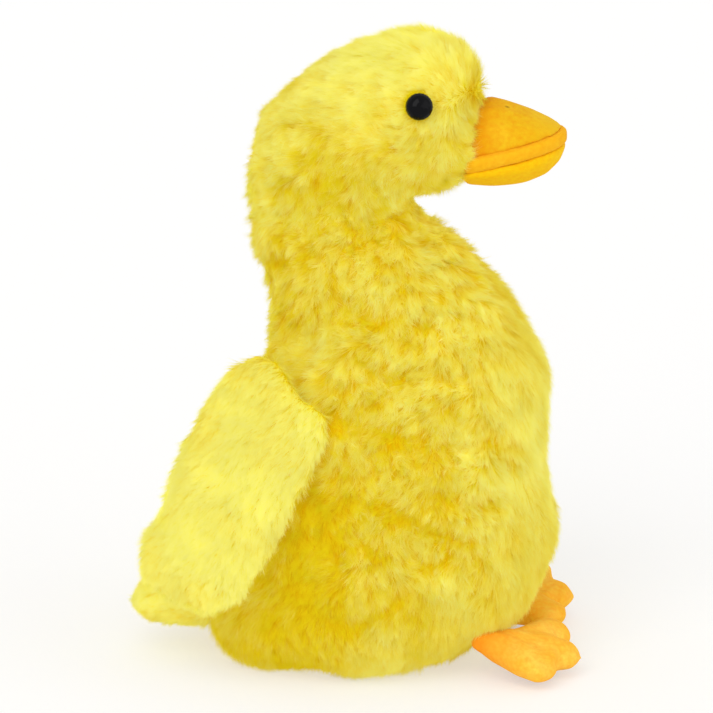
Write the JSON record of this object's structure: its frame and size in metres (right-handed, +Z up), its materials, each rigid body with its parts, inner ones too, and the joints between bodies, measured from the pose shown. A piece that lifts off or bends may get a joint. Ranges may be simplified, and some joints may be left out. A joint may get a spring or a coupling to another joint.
{
  "type": "plush goose",
  "caption": "Upright sitting plush waterfowl chick with furry yellow body, head, wings and tail, velvety orange bill and webbed feet, and glossy dome eyes.",
  "frame": {"origin": "centre of the round base panel, on the floor", "axes": "+X forward, the way the bill points; +Y to the toy's left; +Z up"},
  "size_m": [0.2105, 0.1776, 0.2985],
  "materials": {
    "yellow_fur": "long-pile faux fur",
    "orange_velvet": "short-pile velour",
    "bill_lining": "short-pile velour",
    "polyester_fibre": "loose fibre filling",
    "pellet_bag_cloth": "plain woven cloth",
    "eye_plastic": "polished",
    "washer_plastic": "moulded"
  },
  "bodies": {
    "torso": {"body_cover": "yellow_fur", "body_filling": "polyester_fibre", "base_panel": "yellow_fur", "pellet_bag": "pellet_bag_cloth"},
    "neck": {"neck_filling": "polyester_fibre"},
    "head": {"head_cover": "yellow_fur", "head_filling": "polyester_fibre", "right_eye": "eye_plastic", "left_eye": "eye_plastic", "right_eye_washer": "washer_plastic", "left_eye_washer": "washer_plastic", "upper_bill_cover": "orange_velvet", "upper_bill_filling": "polyester_fibre", "upper_bill_lining": "bill_lining"},
    "lower_bill": {"lower_bill_cover": "orange_velvet", "lower_bill_filling": "polyester_fibre", "lower_bill_lining": "bill_lining"},
    "right_wing": {"right_wing_outer_panel": "yellow_fur", "right_wing_inner_panel": "yellow_fur", "right_wing_filling": "polyester_fibre"},
    "left_wing": {"left_wing_outer_panel": "yellow_fur", "left_wing_inner_panel": "yellow_fur", "left_wing_filling": "polyester_fibre"},
    "tail": {"tail_upper_panel": "yellow_fur", "tail_lower_panel": "yellow_fur", "tail_filling": "polyester_fibre"},
    "right_foot": {"right_foot_upper": "orange_velvet", "right_foot_sole": "orange_velvet", "right_foot_filling": "polyester_fibre"},
    "left_foot": {"left_foot_upper": "orange_velvet", "left_foot_sole": "orange_velvet", "left_foot_filling": "polyester_fibre"}
  },
  "joints": [
    {"name": "head_nod", "type": "hinge", "parent": "torso", "child": "neck", "pos_m": [-0.012, 0, 0.185], "axis": [0, 1, 0], "range_deg": [-15, 8], "stiffness_Nm_per_rad": 0.5},
    {"name": "head_turn", "type": "hinge", "parent": "neck", "child": "head", "pos_m": [-0.012, 0, 0.185], "axis": [0, 0, 1], "range_deg": [-25, 25], "stiffness_Nm_per_rad": 0.3},
    {"name": "bill_open", "type": "hinge", "parent": "head", "child": "lower_bill", "pos_m": [0.05, 0, 0.239], "axis": [0, 1, 0], "range_deg": [0, 18], "stiffness_Nm_per_rad": 0.05},
    {"name": "right_wing_flap", "type": "hinge", "parent": "torso", "child": "right_wing", "pos_m": [-0.033, -0.046, 0.142], "axis": [-0.8348, 0.4439, 0.3256], "range_deg": [-5, 60], "stiffness_Nm_per_rad": 0.1},
    {"name": "left_wing_flap", "type": "hinge", "parent": "torso", "child": "left_wing", "pos_m": [-0.027, 0.05, 0.124], "axis": [0.8721, 0.4637, -0.1564], "range_deg": [-5, 60], "stiffness_Nm_per_rad": 0.1},
    {"name": "tail_lift", "type": "hinge", "parent": "torso", "child": "tail", "pos_m": [-0.0742, 0, 0.0244], "axis": [0, 1, 0], "range_deg": [-8, 20], "stiffness_Nm_per_rad": 0.05},
    {"name": "right_foot_flex", "type": "hinge", "parent": "torso", "child": "right_foot", "pos_m": [0.055, -0.043, 0.0155], "axis": [0, -1, 0], "range_deg": [0, 20], "stiffness_Nm_per_rad": 0.05},
    {"name": "left_foot_flex", "type": "hinge", "parent": "torso", "child": "left_foot", "pos_m": [0.055, 0.043, 0.0155], "axis": [0, -1, 0], "range_deg": [0, 20], "stiffness_Nm_per_rad": 0.05}
  ]
}
